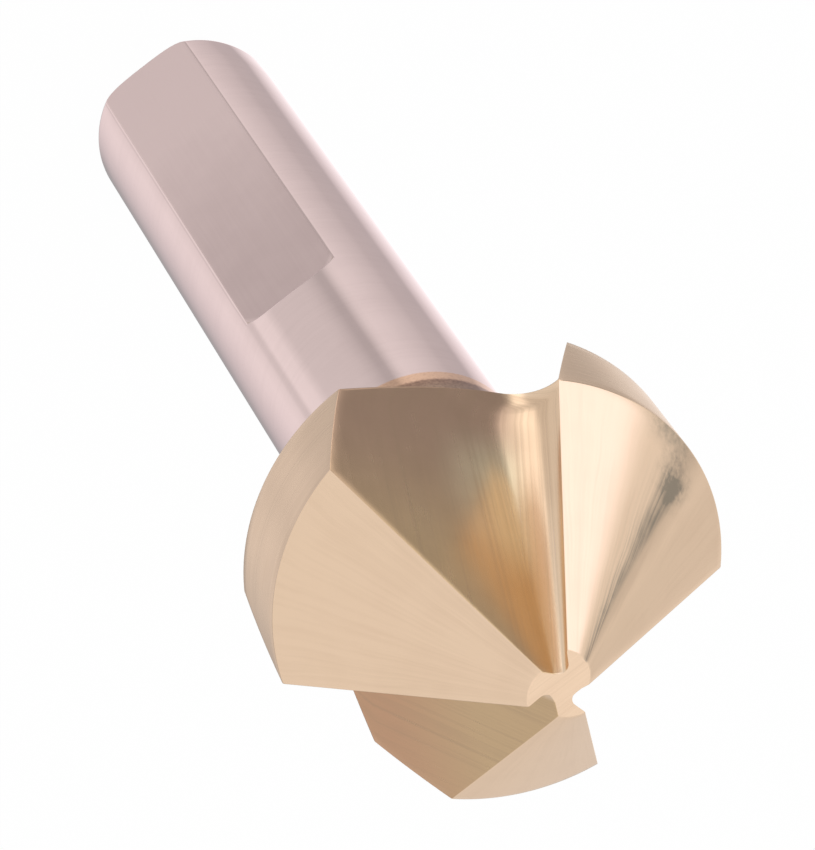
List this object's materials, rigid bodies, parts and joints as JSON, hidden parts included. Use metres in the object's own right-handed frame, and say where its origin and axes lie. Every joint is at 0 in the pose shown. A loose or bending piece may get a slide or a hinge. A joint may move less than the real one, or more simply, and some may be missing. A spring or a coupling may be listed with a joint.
{
  "type": "countersink bit",
  "caption": "Ninety degree fluted countersink with a gold coated cutting head, on a plain steel straight shank that has flats for a chuck.",
  "frame": {"origin": "centre of the shank's end face, which the tool stands on", "axes": "+Z along the tool's axis, from the shank's end to the tip; -Y square to the front driving flat"},
  "size_m": [0.0199, 0.0203, 0.063],
  "materials": {
    "tool_steel": "ground high speed steel, with a thin gold coating on the head"
  },
  "bodies": {
    "root": {"countersink_bit": "tool_steel"}
  },
  "joints": []
}
